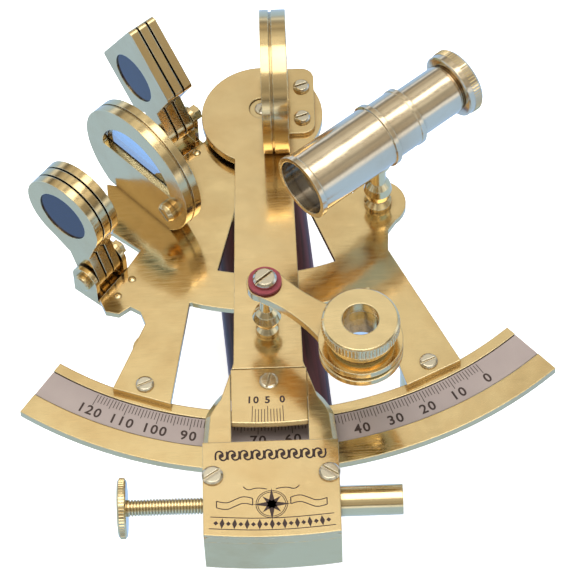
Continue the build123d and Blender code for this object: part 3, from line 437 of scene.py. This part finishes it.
# Radii from the pivot, in millimetres.
TICK_INNER = 86.3
TICK_ONE = 88.3
TICK_FIVE = 88.8
TICK_TEN = 89.3
TICK_WIDTH = 0.17
NUMERAL_R = 90.95
NUMERAL_SIZE = 3.4
strip_top = top_of("scale_strip")
marks = bmesh.new()
for mark in range(0, 121):
    outer = TICK_ONE
    if mark % 5 == 0:
        outer = TICK_FIVE
    if mark % 10 == 0:
        outer = TICK_TEN
    radial_mark(marks, scale_angle(mark), TICK_INNER, outer, TICK_WIDTH, strip_top)
piece(marks, "scale_divisions", "frame", INK)

numerals = bmesh.new()
for mark in range(0, 121, 10):
    turn = Matrix.Rotation(math.radians(scale_angle(mark)), 4, "Z")
    engraved_text(str(mark), NUMERAL_SIZE, turn @ at(0, -NUMERAL_R, strip_top), numerals)
piece(numerals, "scale_numerals", "frame", INK)

vernier_top = top_of("vernier_plate")
vernier_marks = bmesh.new()
VERNIER_STEP = 0.46
VERNIER_MIDDLE = 5.6
VERNIER_OUTER = 89.1
VERNIER_NUMERAL_R = 83.3
VERNIER_NUMERAL_SIZE = 2.5
for mark in range(0, 11):
    inner = 84.9 if mark % 5 == 0 else 85.7
    degrees = (mark - VERNIER_MIDDLE) * VERNIER_STEP
    radial_mark(vernier_marks, degrees, inner, VERNIER_OUTER, 0.15, vernier_top, ARM_AXES)
for words, mark in (("10", 0), ("5", 5), ("0", 10)):
    degrees = (mark - VERNIER_MIDDLE) * VERNIER_STEP
    turn = ARM_AXES @ Matrix.Rotation(math.radians(degrees), 4, "Z")
    place = turn @ at(0, -VERNIER_NUMERAL_R, vernier_top)
    engraved_text(words, VERNIER_NUMERAL_SIZE, place, vernier_marks)
piece(vernier_marks, "vernier_divisions", "arm", INK)


# ---------------- apron ornament ----------------
apron_top = top_of("apron_plate")


def stroke(bm, points, width, place):
    """An engraved line through points, drawn as one smooth flattened curve."""
    curve = bpy.data.curves.new("stroke", "CURVE")
    curve.dimensions = "3D"
    curve.bevel_depth = width / 2 * MM
    curve.bevel_resolution = 0
    curve.resolution_u = 6
    spline = curve.splines.new("NURBS")
    spline.points.add(len(points) - 1)
    for target, (x, y) in zip(spline.points, points):
        target.co = (x * MM, y * MM, 0.0, 1.0)
    spline.order_u = 3
    spline.use_endpoint_u = True
    curve_to_mesh(curve, place @ Matrix.Diagonal((1.0, 1.0, INLAY / width, 1.0)), bm)


def star(bm, place, points, long, short):
    """A pointed compass star, from a circle with every second corner drawn in."""
    made = bmesh.ops.create_circle(bm, cap_ends=True, segments=points * 2, radius=long * MM)
    for index, corner in enumerate(made["verts"]):
        if index % 2:
            corner.co *= short / long
        corner.co.z += INLAY / 2 * MM
    bmesh.ops.transform(bm, matrix=place, verts=made["verts"])


ornament = bmesh.new()
apron = ARM_AXES @ at(0, 0, apron_top)
# A row of curled waves under the arc window.
SCROLL = [
    (-1.2, -1.1),
    (-1.45, 0.7),
    (-0.35, 1.4),
    (0.5, 0.5),
    (0.0, -0.5),
    (-0.6, 0.1),
    (0.1, 0.4),
]
SCROLL_PITCH = 2.75
SCROLL_WIDTH = 0.42
SCROLL_Y = -98.4
for column in range(-4, 5):
    for flip in (1, -1):
        tips = [(x * flip + column * SCROLL_PITCH, y * flip) for x, y in SCROLL]
        stroke(ornament, tips, SCROLL_WIDTH, apron @ at(0, SCROLL_Y, 0))
# Compass rose between two blank ribbons.
ROSE_Y = -111.3
RIBBON_Y = -112.2
RIBBON_DEPTH = 1.7
LINE_WIDTH = 0.24
rose = apron @ at(0, ROSE_Y, 0)
star(ornament, rose, 4, 4.1, 0.95)
star(ornament, rose @ Matrix.Rotation(math.radians(45), 4, "Z"), 4, 2.9, 0.85)
for radius in (3.2, 3.6):
    ring = [
        (radius * math.cos(math.radians(a)), radius * math.sin(math.radians(a)))
        for a in range(0, 361, 30)
    ]
    stroke(ornament, ring, 0.17, rose)
for side in (1, -1):
    for lift in (0.0, RIBBON_DEPTH):
        ribbon = [(4.2, 0.8), (6.0, 1.6), (8.2, 0.6), (10.2, -0.4), (12.2, 0.4)]
        ribbon = [(x * side, y + lift) for x, y in ribbon]
        stroke(ornament, ribbon, LINE_WIDTH, apron @ at(0, RIBBON_Y, 0))
    for x, y in ((4.2, 0.8), (12.2, 0.4)):
        end = [(x * side, y), (x * side, y + RIBBON_DEPTH)]
        stroke(ornament, end, LINE_WIDTH, apron @ at(0, RIBBON_Y, 0))
    bow = [(1.0, 2.6), (3.2, 3.2), (5.4, 2.2), (6.2, 3.4)]
    stroke(ornament, [(x * side, y) for x, y in bow], LINE_WIDTH, apron @ at(0, -110.0, 0))
# A bold curved band of lozenges and dots along the outer edge.
for step in range(-9, 10):
    turn = ARM_AXES @ Matrix.Rotation(math.radians(step * 0.68), 4, "Z")
    reach = 1.15 if step % 2 == 0 else 0.5
    star(ornament, turn @ at(0, -116.4, apron_top), 2, reach * 1.15, 0.55)
for radius in (114.9, 117.9):
    line = [
        (radius * math.sin(math.radians(a)), -radius * math.cos(math.radians(a)))
        for a in (-6.8, -3.4, 0.0, 3.4, 6.8)
    ]
    stroke(ornament, line, 0.22, apron)
piece(ornament, "apron_engraving", "arm", INK)


# ---------------- knurling ----------------
def knurl(name, body, place, radius, length, count, material):
    """A ring of small V ridges round the local X axis, as a knurling wheel leaves."""
    bm = bmesh.new()
    lean = Matrix.Rotation(math.radians(45), 4, "X")
    for index in range(count):
        turn = Matrix.Rotation(2 * math.pi * index / count, 4, "X")
        add_box(bm, place @ turn @ at(0, 0, radius - 0.1) @ lean, (length, 0.42, 0.42))
    return piece(bm, name, body, material)


# The knob's middle on the tangent screw, seen along the arm's own axes.
KNOB_CENTRE = (-33.5, -105.8, 33.0)
knob_place = ARM_AXES @ at(*KNOB_CENTRE)
knurl("knob_knurling", "tangent_screw", knob_place, 6.65, 1.25, 54, BRASS_TURNED)
# The telescope's post, and the eyepiece ring's distance from it along the tube.
SCOPE_CENTRE = (25.2, -28.3, 63.6)
EYE_RING = 24.1
eye_place = at(*SCOPE_CENTRE) @ Matrix.Rotation(SCOPE_TURN, 4, "Z") @ at(EYE_RING, 0, 0)
knurl("eyepiece_knurling", "eyepiece", eye_place, 7.9, 1.9, 64, BRASS_TURNED)
tube_low, tube_high = [Vector(corner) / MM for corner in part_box("magnifier_tube")]
tube_middle = (tube_low + tube_high) / 2
upright = Matrix.Rotation(math.radians(-90), 4, "Y")
top_place = at(tube_middle.x, tube_middle.y, tube_high.z - 1.8) @ upright
knurl("magnifier_knurling", "magnifier_barrel", top_place, 8.5, 2.2, 66, BRASS_TURNED)


# ---------------- rivets ----------------
def dome(bm, place, radius, height):
    """A hammered rivet head: a flattened half ball."""
    made = bmesh.ops.create_uvsphere(bm, u_segments=20, v_segments=10, radius=radius * MM)
    for corner in made["verts"]:
        corner.co.z = max(corner.co.z, -0.2 * MM) * height / radius
    bmesh.ops.transform(bm, matrix=place, verts=made["verts"])


frame_top = top_of("frame_plate")
rivets = bmesh.new()
RIVET_SPOTS = ((-33.8, -44.7), (-37.3, -49.1), (-16.4, -9.4))
for x, y in RIVET_SPOTS:
    dome(rivets, at(x, y, frame_top), 0.95, 0.45)
piece(rivets, "bracket_rivets", "frame", BRASS_TURNED)


# ---------------- floor, light, camera ----------------
def build_floor():
    bm = bmesh.new()
    bmesh.ops.create_grid(bm, x_segments=1, y_segments=1, size=3.0)
    mesh = bpy.data.meshes.new("floor")
    bm.to_mesh(mesh)
    bm.free()
    floor = bpy.data.objects.new("floor", mesh)
    SCENE.collection.objects.link(floor)
    material, tree = new_material("matt white paper")
    paper = add(tree, "ShaderNodeBsdfDiffuse", values={"Color": (0.93, 0.93, 0.93, 1.0)})
    glow = add(tree, "ShaderNodeEmission", values={"Color": (1.0, 1.0, 1.0, 1.0), "Strength": 0.62})
    both = add(tree, "ShaderNodeAddShader", {0: paper.outputs[0], 1: glow.outputs[0]})
    # Polished metal mirrors the paper in a cool tint, as it mirrors a shaded white sheet.
    cool_tone = {"Color": (0.48, 0.74, 1.2, 1.0), "Strength": 0.98}
    cool = add(tree, "ShaderNodeEmission", values=cool_tone)
    path = add(tree, "ShaderNodeLightPath")
    pick = add(
        tree,
        "ShaderNodeMixShader",
        {0: path.outputs["Is Glossy Ray"], 1: both.outputs[0], 2: cool.outputs[0]},
    )
    finish_material(tree, pick)
    mesh.materials.append(material)


def build_world():
    """A soft room by height: cool near the horizon, a dark band at middle height, warm white high
    up, in brighter and dimmer patches.
    """
    world = bpy.data.worlds.new("soft room")
    SCENE.world = world
    world.use_nodes = True
    tree = world.node_tree
    tree.nodes.clear()
    way = add(tree, "ShaderNodeTexCoord").outputs["Generated"]
    split = add(tree, "ShaderNodeSeparateXYZ", {"Vector": way})
    # Height of the direction: horizon 0, straight up 1.
    ramp = add(tree, "ShaderNodeValToRGB", {"Fac": split.outputs["Z"]})
    ramp.color_ramp.elements[0].position = 0.0
    ramp.color_ramp.elements[0].color = (0.50, 0.64, 0.88, 1.0)
    ramp.color_ramp.elements[1].position = 1.0
    ramp.color_ramp.elements[1].color = (1.05, 1.04, 0.97, 1.0)
    for position, colour in (
        (0.18, (0.95, 1.04, 1.18, 1.0)),
        (0.34, (0.26, 0.26, 0.25, 1.0)),
        (0.50, (0.53, 0.49, 0.41, 1.0)),
        (0.70, (0.77, 0.75, 0.67, 1.0)),
        (0.88, (0.80, 0.78, 0.71, 1.0)),
    ):
        element = ramp.color_ramp.elements.new(position)
        element.color = colour
    patch = add(tree, "ShaderNodeTexNoise", {"Vector": way}, {"Scale": 3.4, "Detail": 3.0})
    light = add(
        tree,
        "ShaderNodeMapRange",
        {"Value": patch.outputs["Fac"]},
        {"From Min": 0.35, "From Max": 0.65, "To Min": 0.5, "To Max": 1.32},
    )
    back = add(
        tree,
        "ShaderNodeBackground",
        {"Color": ramp.outputs["Color"], "Strength": light.outputs[0]},
    )
    add(tree, "ShaderNodeOutputWorld", {"Surface": back.outputs[0]})


def build_light(name, spot, size, power, colour, mirrored):
    data = bpy.data.lights.new(name, "AREA")
    data.shape = "SQUARE"
    data.size = size
    data.energy = power
    data.color = colour
    lamp = bpy.data.objects.new(name, data)
    SCENE.collection.objects.link(lamp)
    lamp.location = spot
    lamp.visible_glossy = mirrored
    aim = Vector((0.0, -0.055, 0.03)) - Vector(spot)
    lamp.rotation_euler = aim.to_track_quat("-Z", "Y").to_euler()


build_floor()
build_world()
build_light("key softbox", (-0.55, 0.25, 0.95), 0.7, 9.0, (1.0, 0.97, 0.92), False)
build_light("fill softbox", (0.85, -0.25, 0.55), 0.6, 4.0, (0.9, 0.95, 1.0), False)
build_light("overhead softbox", (0.1, -0.05, 1.3), 1.0, 6.0, (1.0, 1.0, 1.0), True)

# The camera looks down at the face of the arc from its lower side.
camera_data = bpy.data.cameras.new("camera")
camera_data.lens = 206.31
camera_data.sensor_width = 36.0
camera = bpy.data.objects.new("camera", camera_data)
SCENE.collection.objects.link(camera)
camera.location = (-0.01739, -0.48791, 0.66555)
camera.rotation_euler = [math.radians(turn) for turn in (34.8494, 1.4286, -4.6066)]
SCENE.camera = camera
SCENE.view_settings.view_transform = "Standard"
